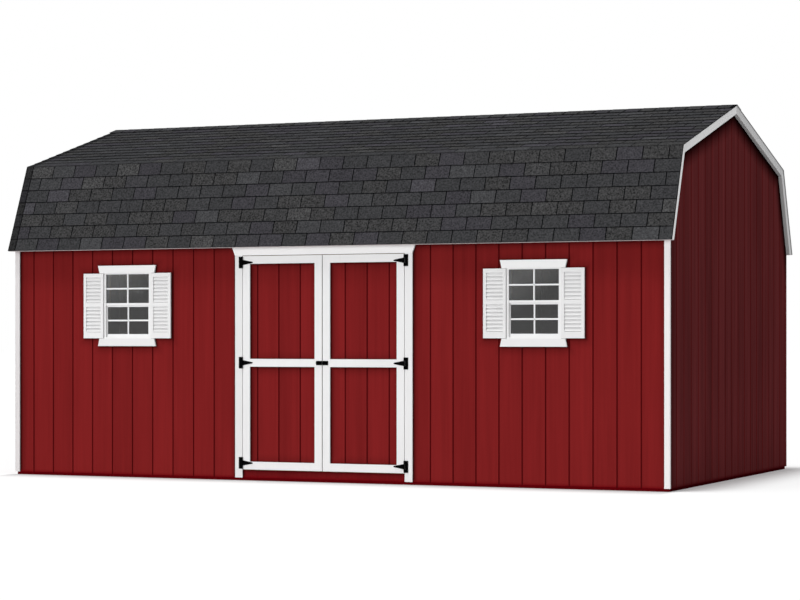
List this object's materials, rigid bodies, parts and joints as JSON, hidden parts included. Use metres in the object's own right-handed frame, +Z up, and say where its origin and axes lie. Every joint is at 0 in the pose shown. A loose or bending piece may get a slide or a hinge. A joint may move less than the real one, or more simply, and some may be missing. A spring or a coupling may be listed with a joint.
{
  "type": "gambrel barn",
  "caption": "Red timber barn with a shingled gambrel roof, white trim, a pair of strap-hinged doors that swing out, shuttered windows and an open framed room inside.",
  "frame": {"origin": "on the ground at the middle of the plan", "axes": "+X along the building to the right seen from the doors, -Y out of the doors, +Z up"},
  "size_m": [6.198, 3.84, 3.2481],
  "materials": {
    "red_siding": "red painted grooved board, satin",
    "white_trim": "white painted board, satin",
    "base_paint": "dark red stained timber, matte",
    "lumber": "bare sawn softwood, matte",
    "plywood": "bare sheathing sheet, matte",
    "shingle": "charcoal mineral granules on felt, matte",
    "window_white": "white extruded section, satin",
    "shutter_white": "white moulded louvre, satin",
    "pane": "dark clear glass",
    "black_iron": "black satin coating"
  },
  "bodies": {
    "barn": {"floor_rims": "base_paint", "floor_joists": "lumber", "floor_deck": "plywood", "long_plates": "lumber", "gable_plates": "lumber", "long_studs": "lumber", "gable_studs": "lumber", "wall_headers": "lumber", "front_lower_rafters": "lumber", "front_upper_rafters": "lumber", "back_lower_rafters": "lumber", "back_upper_rafters": "lumber", "rafter_gussets": "plywood", "front_lower_deck": "plywood", "front_upper_deck": "plywood", "back_lower_deck": "plywood", "back_upper_deck": "plywood", "front_shingles": "shingle", "back_shingles": "shingle", "ridge_cap": "shingle", "lower_rakes": "white_trim", "front_upper_rakes": "white_trim", "back_upper_rakes": "white_trim", "front_siding_left": "red_siding", "front_siding_right": "red_siding", "front_siding_under": "red_siding", "front_siding_over": "red_siding", "back_siding": "red_siding", "left_gable_siding": "red_siding", "right_gable_siding": "red_siding", "corner_trims": "white_trim", "eave_trims": "white_trim", "door_trims": "white_trim", "door_header": "white_trim", "window_frames": "window_white", "window_sashes": "window_white", "window_glass": "pane", "window_casings": "white_trim", "shutters": "shutter_white", "hinge_plates": "black_iron"},
    "left_door": {"left_door_panel": "red_siding", "left_door_boards": "white_trim", "left_door_brace": "lumber", "left_hinge_straps": "black_iron", "latch_bolt": "black_iron"},
    "right_door": {"right_door_panel": "red_siding", "right_door_boards": "white_trim", "right_door_brace": "lumber", "right_hinge_straps": "black_iron", "latch_keeper": "black_iron"}
  },
  "joints": [
    {"name": "left_door_swing", "type": "hinge", "parent": "barn", "child": "left_door", "pos_m": [-0.7595, -1.857, 1.0135], "axis": [0, 0, -1], "range_deg": [0, 170]},
    {"name": "right_door_swing", "type": "hinge", "parent": "barn", "child": "right_door", "pos_m": [0.7595, -1.857, 1.0135], "axis": [0, 0, 1], "range_deg": [0, 170]}
  ]
}
